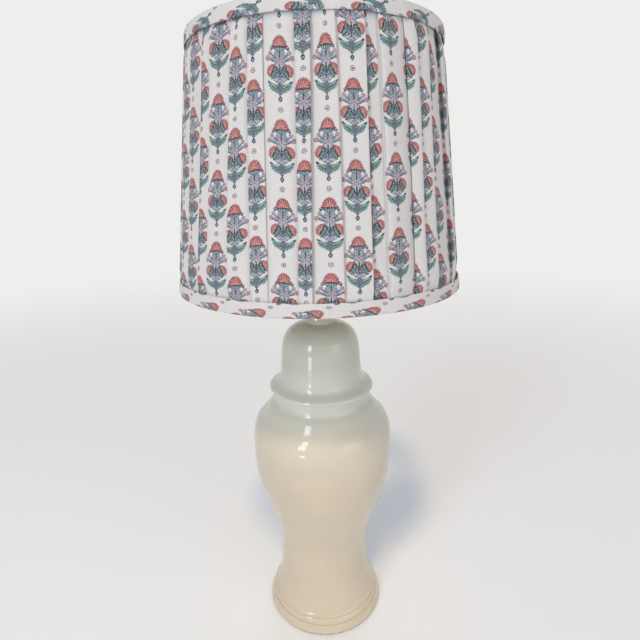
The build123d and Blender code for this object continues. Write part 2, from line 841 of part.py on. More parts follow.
def shade_band(lowest, highest, outer_inset, inner_inset):
    """Closed outline of one straight layer of the shade, between two heights."""
    Polyline(
        (shade_radius(lowest) - outer_inset, lowest),
        (shade_radius(highest) - outer_inset, highest),
        (shade_radius(highest) - inner_inset, highest),
        (shade_radius(lowest) - inner_inset, lowest),
        close=True,
    )


with BuildPart() as shade_liner:
    with BuildSketch(Plane.XZ):
        with BuildLine():
            shade_band(shade_bottom + trim_thick, shade_top - trim_thick, liner_inset, liner_inside)
        make_face()
    revolve(axis=Axis.Z)
save(shade_liner, "shade_liner")

# -------------------------------------------------------------- gathered cover
def fold_edge(index):
    """Angle at which a fold starts: even steps with a steady wander of a share of a fold."""
    wander = fold_wander * (math.sin(2.4 * index) + 0.5 * math.sin(1.1 * index))
    return full_turn / fold_count * (index + wander)


def on_circle(radius, angle):
    """Point of a circle round the lamp's axis."""
    return (radius * math.cos(math.radians(angle)), radius * math.sin(math.radians(angle)))


def fold_outline(height, crest_inset):
    """One ring of folds: a wide round crest and a narrow hollow for each fold."""
    crest = shade_radius(height) - crest_inset
    valley = shade_radius(height) - fold_valley_inset
    side = (crest + valley) / 2
    starts = [fold_edge(index) for index in range(fold_count)]
    stops = starts[1:] + [starts[0]]
    for index in range(fold_count):
        start = starts[index]
        turn = (stops[index] - start) % full_turn
        hollow = start + turn - fold_hollow
        crest_end = on_circle(side, hollow)
        ThreePointArc(
            on_circle(side, start), on_circle(crest, (start + hollow) / 2), crest_end
        )
        ThreePointArc(
            crest_end, on_circle(valley, hollow + fold_hollow / 2), on_circle(side, stops[index])
        )


fold_crest = fold_valley_inset - fold_depth
flat_crest = trim_thick + thread_play
bottom_trim_top = shade_bottom + trim_bottom_height
top_trim_bottom = shade_top - trim_top_height
cover_levels = [
    (shade_bottom + trim_thick, flat_crest),
    (bottom_trim_top, flat_crest),
    (bottom_trim_top + gather_run, fold_crest),
    (top_trim_bottom - gather_run, fold_crest),
    (top_trim_bottom, flat_crest),
    (shade_top - trim_thick, flat_crest),
]
with BuildPart() as shade_cover:
    for level, crest_inset in cover_levels:
        with BuildSketch(Plane.XY.offset(level)):
            with BuildLine():
                fold_outline(level, crest_inset)
            make_face()
    loft(ruled=True)
    with BuildSketch(Plane.XZ):
        with BuildLine():
            Polyline(
                (0, shade_bottom + trim_thick),
                (shade_radius(shade_bottom + trim_thick) - liner_inset, shade_bottom + trim_thick),
                (shade_radius(shade_top - trim_thick) - liner_inset, shade_top - trim_thick),
                (0, shade_top - trim_thick),
                close=True,
            )
        make_face()
    revolve(axis=Axis.Z, mode=Mode.SUBTRACT)
save(shade_cover, "shade_cover")

# ----------------------------------------------------------------------- trims
return_inset = ring_inset + shade_wire_radius + running_fit
with BuildPart() as bottom_trim:
    with BuildSketch(Plane.XZ):
        with BuildLine():
            shade_band(shade_bottom, bottom_trim_top, 0, trim_thick)
        make_face()
        with BuildLine():
            shade_band(shade_bottom, shade_bottom + trim_thick, 0, return_inset + trim_thick)
        make_face()
        with BuildLine():
            inner_lip = return_inset + trim_thick
            shade_band(shade_bottom, shade_bottom + trim_return, return_inset, inner_lip)
        make_face()
    revolve(axis=Axis.Z)
save(bottom_trim, "bottom_trim")

with BuildPart() as top_trim:
    with BuildSketch(Plane.XZ):
        with BuildLine():
            shade_band(top_trim_bottom, shade_top, 0, trim_thick)
        make_face()
        with BuildLine():
            shade_band(shade_top - trim_thick, shade_top, 0, return_inset)
        make_face()
    revolve(axis=Axis.Z)
save(top_trim, "top_trim")
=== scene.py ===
# %% [markdown]
# # Ginger jar lamp with a gathered print shade
# A turned and glazed jar carries a brass socket, a harp and a cloth shade. The construction comes
# in as a fixed frame, with every rigid piece at its real size. This file gives the lamp its
# looks: it makes the cloth of the shade and the felt under the foot as new meshes, and gives each
# piece a surface that is worked out from what it is made of. Everything is in metres, +Z up, with
# the front along -Y.

# %% Load the frame
import json
import math

import bpy
import numpy as np
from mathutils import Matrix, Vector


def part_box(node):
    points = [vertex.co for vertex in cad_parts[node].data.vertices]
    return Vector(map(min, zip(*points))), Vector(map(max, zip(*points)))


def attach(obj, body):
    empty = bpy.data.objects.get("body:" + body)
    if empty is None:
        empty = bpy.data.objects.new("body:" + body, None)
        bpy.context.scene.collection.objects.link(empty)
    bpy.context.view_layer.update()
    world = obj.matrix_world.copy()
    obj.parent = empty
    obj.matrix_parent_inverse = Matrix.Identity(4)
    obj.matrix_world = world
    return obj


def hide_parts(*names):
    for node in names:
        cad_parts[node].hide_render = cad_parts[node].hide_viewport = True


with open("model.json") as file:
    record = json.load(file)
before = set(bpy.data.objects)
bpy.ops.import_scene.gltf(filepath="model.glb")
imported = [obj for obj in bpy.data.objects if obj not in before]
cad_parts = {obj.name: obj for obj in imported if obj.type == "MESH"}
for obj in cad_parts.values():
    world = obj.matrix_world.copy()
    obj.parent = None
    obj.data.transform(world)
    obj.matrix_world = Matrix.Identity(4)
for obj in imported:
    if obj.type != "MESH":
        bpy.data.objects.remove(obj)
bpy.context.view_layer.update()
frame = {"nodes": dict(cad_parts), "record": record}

nodes = frame["nodes"]
mm = 0.001  # sizes below are written in millimetres and turned to metres with this
print("pieces in the frame:", len(nodes))

# %% [markdown]
# ## Three small tools
# A colour is written as the hex value that a paint program shows, and a shader wants it linear. A
# node tree gets long when every link is a line of its own, so one function adds a node with its
# settings and links. A mesh is a grid of points that numpy works out, so one function turns any
# grid into faces and carries a second grid along as the UV map. A grid closed round the lamp
# repeats its first column at the end: the points are shared there, so the seam is closed, but the
# UVs are not, so a pattern can run on over it.

# %% Colours and nodes
def srgb(code):
    """Linear red, green, blue and alpha of an sRGB hex colour."""
    values = np.array([int(code[i : i + 2], 16) / 255 for i in (1, 3, 5)])
    linear = np.where(values <= 0.04045, values / 12.92, ((values + 0.055) / 1.055) ** 2.4)
    return (*linear.tolist(), 1.0)


def live(sockets, name):
    """The socket of that name or number among those that are in use."""
    used = [socket for socket in sockets if socket.enabled]
    return used[name] if isinstance(name, int) else next(s for s in used if s.name == name)


def join(tree, node, inputs):
    """Set a node's inputs by name or number: a node or socket is linked, a value is written."""
    for name, value in inputs.items():
        if isinstance(value, bpy.types.Node):
            value = live(value.outputs, 0)
        if isinstance(value, bpy.types.NodeSocket):
            tree.links.new(value, live(node.inputs, name))
        else:
            live(node.inputs, name).default_value = value


def add(tree, kind, settings=None, inputs=None):
    """Add one node to a tree, with its own settings and with its inputs."""
    node = tree.nodes.new("ShaderNode" + kind)
    for name, value in (settings or {}).items():
        setattr(node, name, value)
    join(tree, node, inputs or {})
    return node


print("mid grey #808080 in linear light:", round(srgb("#808080")[0], 3))

# %% Grids
def surface(name, points, uv=None):
    """Mesh object of a grid of points (rows, columns, 3), with one quad for each cell.

    The last column repeats the first where the grid goes round the lamp, and shares its vertices.
    """
    rows, columns = points.shape[:2]
    wraps = np.allclose(points[:, 0], points[:, -1], atol=1e-9)
    kept = columns - 1 if wraps else columns
    row, column = np.mgrid[0 : rows - 1, 0 : columns - 1]
    corners = [(row, column), (row, column + 1), (row + 1, column + 1), (row + 1, column)]
    faces = np.stack([r * kept + c % kept for r, c in corners], -1).reshape(-1, 4)
    mesh = bpy.data.meshes.new(name)
    mesh.from_pydata(points[:, :kept].reshape(-1, 3), [], faces)
    if uv is not None:
        layer = mesh.uv_layers.new(name="cloth")
        loops = np.stack([uv[r, c] for r, c in corners], -2)
        layer.data.foreach_set("uv", loops.ravel())
    mesh.shade_smooth()
    thing = bpy.data.objects.new(name, mesh)
    bpy.context.scene.collection.objects.link(thing)
    print(f"{name}: {len(faces)} faces, {rows} by {columns} points")
    return thing


# %% [markdown]
# ## Camera
# The view is from about the middle of the shade's height, close up and looking down a little. So
# the jar's rings read as ellipses, and the foot, which is farther off, looks smaller than it is.
# The camera is placed in the lamp's own frame: so far in front, so high, and tilted and rolled by
# small angles.

# %% Camera
camera_distance = 515.2 * mm  # in front of the lamp's axis
camera_height = 543.2 * mm
camera_pitch = math.radians(16.592)  # downwards
camera_roll = math.radians(-1.2)
camera_data = bpy.data.cameras.new("camera")
camera_data.lens = 26.0
camera_data.sensor_width = 36.0
camera_data.clip_start = 0.01
camera = bpy.data.objects.new("camera", camera_data)
bpy.context.scene.collection.objects.link(camera)
camera.location = (0, -camera_distance, camera_height)
camera.rotation_mode = "XYZ"
camera.rotation_euler = (math.pi / 2 - camera_pitch, 0, 0)
camera.rotation_euler.rotate_axis("Z", camera_roll)
bpy.context.scene.camera = camera
print("camera at", [round(value, 4) for value in camera.location])

# %% [markdown]
# ## Light
# A glazed pot shows the room that it stands in, so the light matters as much as the glaze. The
# main light comes warm from high up in front. The shade keeps it off the lid and the top of the
# shoulder, and it lands below: that is why the jar is cool above and warm below, with a soft edge
# across the shoulder. The glaze adds painted shade there as well. A tall window in two panes, on
# the left in front, gives the cloth its shading and glints on the glaze, and a low pane puts a
# glint on the foot. A weak lamp on the right keeps the far side open, and one behind lights the
# back. The lamps are hidden from the camera, so that no view round the object meets one. The
# world is pale to the eye, to mirrors and to glass, and weaker as a light. It gives more light
# from the front and the back than from the sides, so that the shade darkens towards its outline.

# %% Backdrop and ambient light
background = srgb("#eeeeec")
ambient_mean = 0.5  # strength of the light from straight above
ambient_swing = 0.3  # what the front and the back have more than that, and the sides less
scene = bpy.context.scene
scene.view_settings.view_transform = "Standard"


def seen_directly(tree):
    """1 for rays from the eye, off a gloss or through glass, and 0 for rays that only light."""
    path = add(tree, "LightPath")
    seen = add(tree, "Math", {"operation": "MAXIMUM"},
               {0: path.outputs["Is Camera Ray"], 1: path.outputs["Is Glossy Ray"]})
    return add(tree, "Math", {"operation": "MAXIMUM"},
               {0: seen, 1: path.outputs["Is Transmission Ray"]})


world = bpy.data.worlds.new("studio")
world.use_nodes = True
tree = world.node_tree
tree.nodes.clear()
ray = add(tree, "TexCoord").outputs["Generated"]
squares = add(tree, "VectorMath", {"operation": "MULTIPLY"}, {0: ray, 1: ray})
squares = add(tree, "SeparateXYZ", inputs={0: squares}).outputs
ahead = add(tree, "Math", {"operation": "SUBTRACT"}, {0: squares["Y"], 1: squares["X"]})
strength = add(tree, "Math", {"operation": "MULTIPLY_ADD"},
               {0: ahead, 1: ambient_swing, 2: ambient_mean})
ambient = add(tree, "Background", inputs={"Color": srgb("#f1f4fa"), "Strength": strength})
backdrop = add(tree, "Background", inputs={"Color": background, "Strength": 1.0})
sky = add(tree, "MixShader", inputs={0: seen_directly(tree), 1: ambient, 2: backdrop})
add(tree, "OutputWorld", inputs={"Surface": sky})
scene.world = world
print(f"ambient light: {ambient_mean - ambient_swing:.1f} from the sides, "
      f"{ambient_mean + ambient_swing:.1f} from the front and the back")

# %% Lamps
aim = (0, 0, 0.4)  # a little above the middle of the object
window_tint = "#f4f8ff"


def softbox(name, place, target, width, height, power, tint):
    """A rectangular lamp at a place, facing a target; sizes in metres and power in watts."""
    lamp = bpy.data.lights.new(name, "AREA")
    lamp.shape = "RECTANGLE"
    lamp.size, lamp.size_y = width, height
    lamp.energy = power
    lamp.color = srgb(tint)[:3]
    thing = bpy.data.objects.new(name, lamp)
    scene.collection.objects.link(thing)
    away = np.array(target) - np.array(place)
    tilt = math.atan2(math.hypot(away[0], away[1]), -away[2])
    thing.location = place
    thing.rotation_euler = (tilt, 0, math.atan2(away[1], away[0]) - math.pi / 2)
    thing.visible_camera = False
    print(f"{name}: {power} W at {np.linalg.norm(away):.2f} m")


softbox("upper pane", (-0.82, -1.27, 1.5), aim, 0.3, 0.6, 4.2, window_tint)
softbox("lower pane", (-0.82, -1.27, 0.82), aim, 0.3, 0.5, 3.6, window_tint)
softbox("door pane", (-0.7, -1.2, 0.1), (0, 0, 0.3), 0.2, 0.16, 0.7, window_tint)
softbox("soft fill", (1.7, -1.7, 0.8), aim, 1.4, 1.4, 7.5, "#f4f5fa")
softbox("back fill", (0.5, 2.6, 2.2), aim, 1.8, 1.6, 12, "#f6f7fa")

ceiling_data = bpy.data.lights.new("ceiling", "SUN")
ceiling_data.energy = 0.9
ceiling_data.angle = math.radians(7)  # a wide light, so the shade's shadow has a soft edge
ceiling_data.color = srgb("#ffddb0")[:3]
ceiling = bpy.data.objects.new("ceiling", ceiling_data)
scene.collection.objects.link(ceiling)
ceiling.rotation_euler = (math.radians(26), math.radians(-4), 0)  # from high up in front
print(f"ceiling: {ceiling_data.energy:.1f} W for each square metre")

# %% [markdown]
# ## Floor
# The floor is a wide disc of pale paper. To the eye it turns, far out, into the same pale
# background that the world shows, so no horizon can be seen. Light still meets plain paper
# everywhere, and so does the object's shadow.

# %% Paper floor
floor_radius = 6.0
paper_radius = 0.75  # the floor is plain paper this far out, then turns into the background
fade_end = 0.45 * floor_radius
ring = np.array([0.0, 0.15, 0.4, 1.0, 2.0, 4.0, floor_radius])
turn = np.linspace(0, 2 * math.pi, 65)
turn[-1] = 0.0
floor_points = np.stack([
    ring[:, None] * np.cos(turn), ring[:, None] * np.sin(turn),
    np.zeros((len(ring), len(turn)))], -1)
floor = surface("floor", floor_points)

paper = bpy.data.materials.new("pale_studio_paper")
paper.use_nodes = True
tree = paper.node_tree
tree.nodes.clear()
where = add(tree, "TexCoord").outputs["Object"]
outward = add(tree, "VectorMath", {"operation": "LENGTH"}, {0: where}).outputs["Value"]
fade = add(tree, "MapRange", {"interpolation_type": "SMOOTHSTEP"},
           {"Value": outward, "From Min": paper_radius, "From Max": fade_end})
glow = add(tree, "Math", {"operation": "MULTIPLY"}, {0: fade, 1: seen_directly(tree)})
fibres = add(tree, "TexNoise", inputs={"Vector": where, "Scale": 400.0, "Detail": 4.0})
tooth = add(tree, "Bump", inputs={"Strength": 0.15, "Distance": 0.3 * mm, "Height": fibres})
matt = add(tree, "BsdfPrincipled",
           inputs={"Base Color": srgb("#f1f6fb"), "Roughness": 0.85, "Specular IOR Level": 0.1,
                   "Normal": tooth})
light = add(tree, "Emission", inputs={"Color": background, "Strength": 1.0})
paper_or_light = add(tree, "MixShader", inputs={0: glow, 1: matt, 2: light})
add(tree, "OutputMaterial", inputs={"Surface": paper_or_light})
floor.data.materials.append(paper)
print(f"floor: plain paper to {paper_radius} m, background from {fade_end:.1f} m")

# %% [markdown]
# ## The shade's cone
# The trims lie on one straight cone, and the cloth is gathered in the few millimetres between
# that cone and the stiff liner. Both are read from the frame: the lower trim is widest at its
# lower edge and the upper trim at its lower edge too, which gives two points of the cone.

# %% Cone, liner and heights
low_corner, low_top = (np.array(corner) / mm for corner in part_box("bottom_trim"))
high_corner, high_top = (np.array(corner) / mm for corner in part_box("top_trim"))
liner_corner, liner_top = (np.array(corner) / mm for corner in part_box("shade_liner"))
shade_bottom, shade_top = low_corner[2], high_top[2]
bottom_trim_top, top_trim_bottom = low_top[2], high_corner[2]
cone_slope = (high_top[0] - low_top[0]) / (top_trim_bottom - shade_bottom)
slant = math.hypot(1, cone_slope)  # length along the cone for each millimetre of height


def cone_radius(height):
    """Radius of the trims' outside at a height: a straight line from the widest ring upwards."""
    return low_top[0] + cone_slope * (height - shade_bottom)


liner_inset = cone_radius(liner_corner[2]) - liner_top[0]
print(f"shade {shade_bottom:.1f} to {shade_top:.1f} mm, "
      f"liner {liner_inset:.2f} mm inside the trims")

# %% [markdown]
# ## Gathered cover
# The cover is one strip of printed cotton about a third longer than the shade is round, so it has
# to fold. It could be simulated, but gathers on a stiff frame are held at both ends and pressed
# against the liner, so a formula says it better. Between two fold edges the cloth shows a face,
# and at each edge it doubles back under its neighbour. Seven knots describe one fold: four where
# the cloth doubles back and three across the face. All knots of all folds make one closed ring at
# each height, and a cubic B-spline smooths them. The rings stand closer near the trims, where the
# folds open out.

# %% Numbers of the cover
fold_count = 44
cloth_per_fold = 27.0  # mm of cloth that goes into one fold
column_step = cloth_per_fold  # mm between two printed columns: the maker has folded by the print
repeat = 59.2  # mm from sprig to sprig in one column
crest = 5.7  # how far a knot on top of the folds stands out from the liner
cloth_thick = 0.32
edge_inset = 1.4  # the cloth ends this far inside the shade's upper and lower edges
gather_run = 13.0  # height over which a fold opens out beside a trim
pressed = 0.46  # how flat a fold is pressed under a trim
row_count = 46
even_rows = 0.45  # 1 would space the rows evenly, 0 as on a half circle
trim_hold = 3  # mm under a trim, up to where a fold is pressed flat
liner_gap = 0.05  # mm of air between the liner and the cloth

cover_bottom, cover_top = shade_bottom + edge_inset, shade_top - edge_inset
share_up = 0.5 - 0.5 * np.cos(np.linspace(0, math.pi, row_count))
share_up = (1 - even_rows) * share_up + even_rows * np.linspace(0, 1, row_count)
level = cover_bottom + share_up * (cover_top - cover_bottom)
radius = cone_radius(level)


def smooth(value, start, stop):
    """0 before start, 1 after stop, and an even S curve between them."""
    share = np.clip((value - start) / (stop - start), 0, 1)
    return share * share * (3 - 2 * share)


opened = smooth(level, bottom_trim_top - trim_hold, bottom_trim_top + gather_run)
opened = opened * (
    1 - smooth(level, top_trim_bottom - gather_run, top_trim_bottom + trim_hold))
fullness = pressed + (1 - pressed) * opened
print(f"{row_count} rows from {level[0]:.1f} to {level[-1]:.1f} mm, "
      f"radius {radius[0]:.1f} to {radius[-1]:.1f} mm")

# %% [markdown]
# No two folds of a hand-gathered cover are the same. They differ in how much cloth they take, in
# which side lies on top, in how far they stand out, and in how their edge wanders on its way up.
# Slow waves set what neighbours have in common, and seeded draws set the rest, so that each run
# gives the same cover. On the left of the front nearly every edge has its right face on top, and
# elsewhere the two kinds are mixed.

# %% How the folds differ
fold_wander = 0.19  # unevenness of the fold edges, as a share of one fold
rng = np.random.default_rng(44)
fold = np.arange(fold_count)
edge_wander = fold_wander * (np.sin(2.4 * fold) + 0.5 * np.sin(1.1 * fold))
edge_angle = 2 * math.pi / fold_count * (fold + edge_wander)
left_front = (fold > 20) & (fold < 31)  # from the shade's left side up to near its front
chance = np.where(left_front, 0.1, 0.6)  # that the face left of an edge lies on top
left_covers = (rng.random(fold_count) < chance)[:, None]
cloth_share = 1 + 0.13 * np.sin(2.9 * fold + 0.5) + 0.06 * np.sin(0.57 * fold)
crest_share = rng.uniform(0.45, 1.04, fold_count)
sway = rng.uniform(0.4, 1.7, fold_count)
lean = rng.uniform(-2.2, 2.2, fold_count)  # mm that an edge drifts sideways from bottom to top
sway_phase = rng.uniform(0, 2 * math.pi, fold_count)
sway_turns = rng.uniform(0.35, 0.9, fold_count)
belly_share = rng.uniform(-0.9, 1.0, (fold_count, 3))
print(f"{fold_count} edges, {left_covers.sum()} of them with the left face on top")

# %% [markdown]
# As the shade is narrower at the top, the same cloth doubles back further there: a tuck is half
# of what the cloth is longer than the face. The four knots of an edge are written once, for a
# left face on top, and the other kind of edge is their mirror image.

# %% Knots of the folds
bend_ease = 0.3  # mm of a tuck that its bends take up
least_tuck = 0.6
lean_from = 0.3  # share of the height at which a leaning edge is in its own place
low_face = 1.3  # mm out from the liner where a face starts under its neighbour

# arrays below are [fold, row], and [knot, fold, row] for the knots
face_width = (np.roll(edge_angle, -1) - edge_angle) % (2 * math.pi)
tuck = 0.5 * (cloth_per_fold * cloth_share[:, None] - face_width[:, None] * radius)
tuck = np.maximum(tuck + bend_ease, least_tuck)
drift = np.sin(2 * math.pi * sway_turns[:, None] * share_up + sway_phase[:, None])
drift = sway[:, None] * drift + lean[:, None] * (share_up - lean_from)
top_level = crest * crest_share[:, None] * np.ones(row_count)

flat = np.zeros_like(tuck)
lap_along = np.stack([flat + 0.3, -0.45 * tuck, -tuck, flat + 1.2])  # mm along the ring
lap_out = np.stack([top_level, 0.5 * top_level, flat + 0.15, flat + 1.0])  # mm out of the liner
edge_along = np.where(left_covers, lap_along, -lap_along[::-1])
edge_out = np.where(left_covers, lap_out, lap_out[::-1])

start_out = np.where(left_covers, low_face, top_level)
stop_out = np.roll(np.where(left_covers, top_level, low_face), -1, axis=0)
face_share = np.array([0.2, 0.52, 0.84])[:, None, None]  # where the knots lie across a face
face_out = start_out + face_share * (stop_out - start_out) + belly_share.T[:, :, None]
face_out = np.minimum(face_out + 0.9 * np.sin(math.pi * face_share), 1.02 * crest)
print(f"cloth doubles back by {tuck.min():.1f} to {tuck.max():.1f} mm")

# %% [markdown]
# The knots become points round the lamp: an angle from the way along the ring, and a radius from
# the way out from the liner. The B-spline is a weighted mean of four knots in turn, so the whole
# cover is one product of a small table of weights with shifted copies of the knots.

# %% Cover surface
steps_per_knot = 3


def closed_spline(knots, steps):
    """Cubic B-spline of a closed run of knots: each point is a weighted mean of four in a row."""
    t = np.arange(steps)[:, None] / steps
    weights = np.hstack([
        (1 - t) ** 3, 3 * t**3 - 6 * t**2 + 4, 1 + 3 * t + 3 * t**2 - 3 * t**3, t**3]) / 6
    near = np.stack([np.roll(knots, shift, axis=0) for shift in (1, 0, -1, -2)])
    return np.einsum("tk,kn...->nt...", weights, near).reshape(-1, *knots.shape[1:])


edge_turn = edge_angle[:, None] + (edge_along + drift) / radius
next_turn = edge_angle[:, None] + face_width[:, None]
next_drift = np.roll(drift, -1, axis=0) / radius
face_turn = (1 - face_share) * (edge_angle[:, None] + drift / radius)
face_turn = face_turn + face_share * (next_turn + next_drift)
knot_turn = np.concatenate([edge_turn, face_turn]).transpose(1, 0, 2).reshape(-1, row_count)
knot_out = np.concatenate([edge_out, face_out]).transpose(1, 0, 2).reshape(-1, row_count)
knot_radius = radius - liner_inset + 0.5 * cloth_thick + liner_gap + knot_out * fullness
knot_points = np.stack([
    knot_radius * np.cos(knot_turn), knot_radius * np.sin(knot_turn), level + 0 * knot_turn], -1)
ring_points = closed_spline(knot_points, steps_per_knot)
ring_points = np.concatenate([ring_points, ring_points[:1]])  # columns go round, and close
print(f"{len(knot_points)} knots and {len(ring_points)} points in a ring")

# %% [markdown]
# The cloth's own length round the ring is measured on the finished surface and becomes the U of
# its UV map, in millimetres, with the height along the cone as V. A print drawn on that map is
# cut by the folds just as real printed cloth is. The map is shifted so that a printed column
# falls on a face, and V climbs by one repeat on the way round, with small waves, because nobody
# gathers cloth dead level.

# %% Cloth map and cover
column_shift = 0.58 * cloth_per_fold  # from a fold's edge to the middle of its printed column
left_shift = 4  # mm that the columns lie further right on the lamp's left side
left_turn = 3.6  # radians round to the middle of that side
step_length = np.linalg.norm(np.diff(ring_points, axis=0), axis=-1)
middle_rows = slice(row_count // 4, -row_count // 4)
across = np.concatenate([[0], np.cumsum(step_length[:, middle_rows].mean(1))])
cloth_length = fold_count * cloth_per_fold
print(f"cloth in a fold: {across[-1] / fold_count:.1f} mm, on average")
across = across * cloth_length / across[-1]
lap = across / cloth_length * 2 * math.pi
across = across - column_shift - left_shift * np.cos(lap - left_turn)
up = (level - cover_bottom) * slant
slip = repeat / cloth_length * across
slip = slip + 2.2 * np.sin(3 * lap + 1) + 1.5 * np.sin(7 * lap + 2) + 1.1 * np.sin(16 * lap)
cover_uv = np.stack(np.broadcast_arrays(across[None, :], up[:, None] - slip), -1)
cover = surface("gathered_cover", ring_points.transpose(1, 0, 2) * mm, cover_uv)
print(f"cloth measured {step_length.sum(0).min():.0f} to {step_length.sum(0).max():.0f} mm round")


def thicken(piece, thickness):
    """Give a sheet its thickness in millimetres, half on each side of its surface."""
    solid = piece.modifiers.new("cloth thickness", "SOLIDIFY")
    solid.thickness = thickness * mm
    solid.offset = 0.0


thicken(cover, cloth_thick)
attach(cover, "shade")
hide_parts("shade_cover")

# %% [markdown]
# ## Trims
# Each edge of the shade is bound with a strip of the same cloth, cut on the bias so that it can
# follow the ring. The cut runs from one sprig to the next in the column beside it. Pulled tight,
# a bias strip gets longer and narrower, which is why its print looks drawn out along the band.
# One band is a profile carried round the lamp: it starts folded under behind the visible edge,
# runs over the face, round the wire, and ends inside. It lies on the folds, so its face follows
# them a little.

# %% Trim surfaces
strip_stretch = 1.22  # how much longer the pulled strip is
strip_narrow = 0.6  # and how much narrower
strip_cut = math.atan2(column_step, repeat / 2)  # from the warp to the line between sprigs
band_thick = 0.55
band_columns = 720
band_rows = 44
band_inset = 0.1  # mm that the middle of the strip lies inside the cone


def band(name, profile, face_start, upside_down, pattern_at):
    """A strip carried round the lamp along a profile of (height, inset) points.

    Each point is set by its height and by how far inside the trims' cone it lies. The UV map is
    the strip's own cloth: the way round and the way across, unstretched and turned by the angle
    of the cut. face_start is the height of the visible edge, and pattern_at is the cloth's place
    in millimetres where the strip starts.
    """
    height, inset = np.array(profile, float).T
    step = np.hypot(np.diff(height), np.diff(inset))
    way = np.concatenate([[0], np.cumsum(step)])
    dense = np.linspace(0, way[-1], band_rows)
    height, inset = np.interp(dense, way, height), np.interp(dense, way, inset)
    kernel = np.array([1, 2, 1]) / 4
    for _ in range(2):  # two passes round off the corners of the profile
        height[1:-1] = np.convolve(height, kernel, "valid")
        inset[1:-1] = np.convolve(inset, kernel, "valid")
    angle = np.linspace(0, 2 * math.pi, band_columns + 1) + math.pi / 2  # its join is at the back
    ripple = 0.16 * np.sin(fold_count * angle + 0.8 * np.sin(3 * angle))  # from the folds below
    ripple = (ripple + 0.1 * np.sin(17 * angle + 1)) * smooth(inset, 1.4, 0.0)[:, None]
    reach = cone_radius(height)[:, None] - inset[:, None] - band_inset + ripple
    waver = 0.22 * np.sin(5 * angle + 0.4) + 0.12 * np.sin(13 * angle)  # an edge laid by hand
    lift = height[:, None] + waver * smooth(np.abs(height - face_start), 2.0, 0.0)[:, None]
    points = np.stack([reach * np.cos(angle), reach * np.sin(angle), lift], -1)
    points[:, -1] = points[:, 0]
    ring_radius = cone_radius(shade_top if upside_down else shade_bottom)
    along = (angle - angle[0]) * ring_radius / strip_stretch
    over = (dense - dense[0]) / strip_narrow
    if upside_down:
        along, over = -along, -over
    along, over = along + pattern_at[0], over + pattern_at[1]
    along, over = np.broadcast_arrays(along[None, :], over[:, None])
    u = along * math.sin(strip_cut) - over * math.cos(strip_cut)
    v = along * math.cos(strip_cut) + over * math.sin(strip_cut)
    piece = surface(name, points * mm, np.stack([u, v], -1))
    thicken(piece, band_thick)
    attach(piece, "shade")
    return piece


# %% The two trims
low_profile = [
    (bottom_trim_top - 5.0, 1.15), (bottom_trim_top - 0.4, 1.1), (bottom_trim_top, 0.55),
    (bottom_trim_top - 0.3, 0.1), (shade_bottom + 7, 0.0), (shade_bottom + 0.8, 0.1),
    (shade_bottom + 0.3, 1.0), (shade_bottom + 0.4, 7.6), (shade_bottom + 1.2, 9.3),
    (shade_bottom + 6.0, 9.3)]
high_profile = [
    (top_trim_bottom + 5.0, 1.15), (top_trim_bottom + 0.4, 1.1), (top_trim_bottom, 0.55),
    (top_trim_bottom + 0.3, 0.1), (shade_top - 6, 0.0), (shade_top - 0.8, 0.1),
    (shade_top - 0.3, 1.0), (shade_top - 0.4, 8.2)]
low_band = band("bottom_binding", low_profile[::-1], bottom_trim_top, False, (-14.2, 20.2))
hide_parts("bottom_trim")
high_band = band("top_binding", high_profile, top_trim_bottom, True, (26.7, 6.0))
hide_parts("top_trim")
print(f"strips cut {math.degrees(strip_cut):.0f} degrees from the warp")

# %% [markdown]
# ## Felt
# The foot stands on a disc of wool felt, cut a little smaller than the foot. It is a closed lathe
# surface with a soft edge, squashed to the height that the frame gives it. Its cut edge is a
# little uneven, as scissors and loose wool leave it.

# %% Felt surface
felt_radius, _, felt_height = np.array(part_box("base_felt")[1]) / mm
edge_round = 0.7
around = np.linspace(0, 2 * math.pi, 181)
half = np.linspace(-math.pi / 2, math.pi / 2, 11)
rim = np.stack([
    felt_radius - edge_round + edge_round * np.cos(half), felt_height / 2 * (1 + np.sin(half))])
spread = np.array([0.0, 0.25, 0.5, 0.75, 0.97]) * felt_radius
profile_r = np.concatenate([spread, rim[0], spread[::-1]])
profile_z = np.concatenate([0 * spread, rim[1], 0 * spread + felt_height])
fuzz = 0.25 * np.sin(37 * around) + 0.15 * np.sin(83 * around + 1)
reach = profile_r[:, None] + fuzz * (profile_r[:, None] > 0.98 * felt_radius)
felt_points = np.stack([
    reach * np.cos(around), reach * np.sin(around), profile_z[:, None] + 0 * reach], -1)
felt_points[:, -1] = felt_points[:, 0]
felt = surface("foot_felt", felt_points * mm)
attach(felt, "base")
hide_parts("base_felt")
print(f"felt: {2 * felt_radius:.1f} mm across and {felt_height:.1f} mm thick")

# %% [markdown]
# ## Printed cotton
# The cloth is plain-woven cotton, block-printed by hand in coral, slate, teal and mauve: a
# flowering sprig with a crown on top, two flowers at its sides, leaves that come to a point and a
# bud under them, set in columns that are dropped by half a repeat. The traditional way to draw
# this in Blender is an image, but a pattern made of nodes stays sharp at any size and can be
# changed. It works as the printer does. Cell coordinates repeat one block over the cloth, and the
# block is built from a few carved outlines, each stamped in its own colour at its own place. The
# sprig is the same left and right, so one half is drawn and the other is its mirror image.

# %% An outline as a node group
ink_edge = 7.0  # how sharply the ink ends: the edge is a seventh of the outline's size wide


